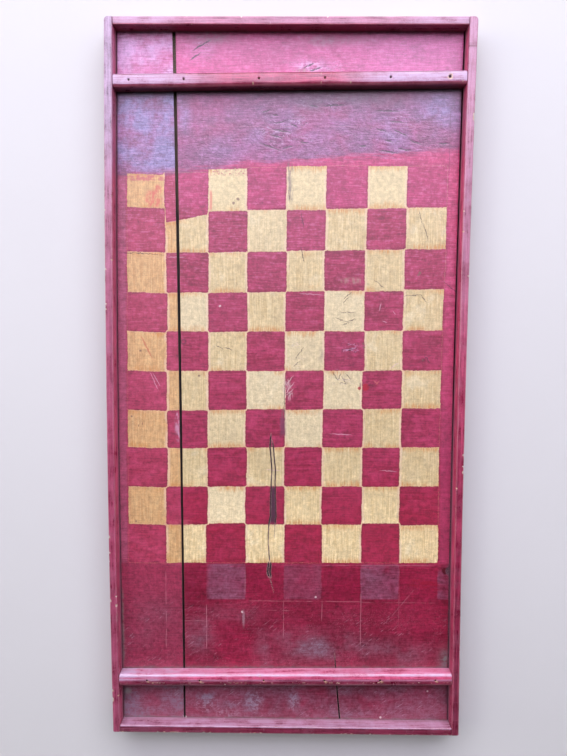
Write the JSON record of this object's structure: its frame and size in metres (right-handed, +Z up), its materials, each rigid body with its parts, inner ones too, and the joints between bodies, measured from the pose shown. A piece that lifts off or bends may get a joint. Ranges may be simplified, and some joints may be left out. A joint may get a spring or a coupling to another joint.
{
  "type": "checkerboard",
  "caption": "Old painted wooden draughts board: a jointed panel in a raised nailed rim, with a cross batten near each end that makes a shallow tray for captured pieces.",
  "frame": {"origin": "middle of the underside, on the surface that the board lies on", "axes": "+Z up out of the playing surface, +Y along the board toward its top tray, +X to the right with the narrow panel board on the left"},
  "size_m": [0.3462, 0.686, 0.025],
  "materials": {
    "painted_panel": "old crimson paint with cream squares on softwood, worn and dusty",
    "painted_rim": "old crimson paint on softwood strips, chipped along the edges",
    "old_iron": "dark rusted iron"
  },
  "bodies": {
    "root": {"narrow_panel_board": "painted_panel", "wide_panel_board": "painted_panel", "left_stile": "painted_rim", "right_stile": "painted_rim", "top_rail": "painted_rim", "bottom_rail": "painted_rim", "top_batten": "painted_rim", "bottom_batten": "painted_rim", "top_batten_brads": "old_iron", "bottom_batten_brads": "old_iron", "left_stile_nails": "old_iron", "right_stile_nails": "old_iron", "top_rail_nails": "old_iron", "bottom_rail_nails": "old_iron", "top_left_corner_nails": "old_iron", "top_right_corner_nails": "old_iron", "bottom_left_corner_nails": "old_iron", "bottom_right_corner_nails": "old_iron"}
  },
  "joints": []
}
